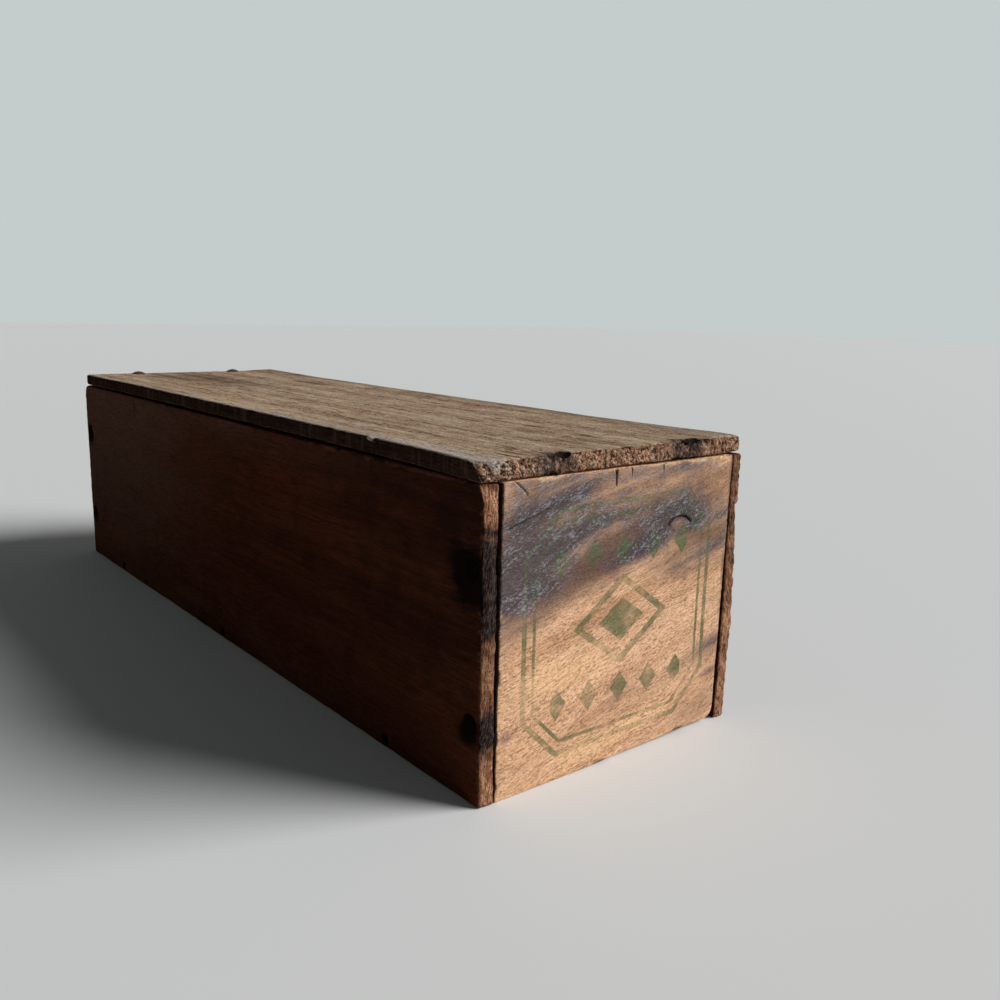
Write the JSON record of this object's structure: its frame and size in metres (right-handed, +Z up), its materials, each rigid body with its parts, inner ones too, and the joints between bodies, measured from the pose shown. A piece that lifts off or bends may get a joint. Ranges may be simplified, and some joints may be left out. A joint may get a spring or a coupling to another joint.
{
  "type": "wooden cheese box",
  "caption": "Long narrow nailed wooden box for a loaf of cheese, with thin side boards, thicker end boards set between them and a flat lid that swings up on small butt hinges at one end.",
  "frame": {"origin": "middle of the underside of the bottom board, on the plane that the box stands on", "axes": "+Z up, +Y from the front end to the hinge end, +X to the right seen from the front end"},
  "size_m": [0.099, 0.3255, 0.0916],
  "materials": {
    "side_wood": "bare aged softwood, dark brown",
    "end_wood": "bare rough-sawn wood, tan with dark stains",
    "lid_wood": "bare weathered wood, grey brown",
    "bottom_wood": "bare aged wood",
    "nail_iron": "rusted, almost black",
    "hinge_steel": "dark, rust-freckled"
  },
  "bodies": {
    "box": {"bottom_board": "bottom_wood", "left_side_board": "side_wood", "right_side_board": "side_wood", "front_end_board": "end_wood", "rear_end_board": "end_wood", "front_left_nails": "nail_iron", "front_right_nails": "nail_iron", "rear_left_nails": "nail_iron", "rear_right_nails": "nail_iron", "left_bottom_brads": "nail_iron", "right_bottom_brads": "nail_iron", "left_hinge_box_leaf": "hinge_steel", "left_hinge_pin": "hinge_steel", "left_hinge_screws": "hinge_steel", "right_hinge_box_leaf": "hinge_steel", "right_hinge_pin": "hinge_steel", "right_hinge_screws": "hinge_steel"},
    "lid": {"lid_board": "lid_wood", "left_hinge_lid_leaf": "hinge_steel", "left_hinge_rivet": "hinge_steel", "right_hinge_lid_leaf": "hinge_steel", "right_hinge_rivet": "hinge_steel"}
  },
  "joints": [
    {"name": "lid_hinge", "type": "hinge", "parent": "box", "child": "lid", "pos_m": [0, 0.1629, 0.08525], "axis": [-1, 0, 0], "range_deg": [0, 180]}
  ]
}
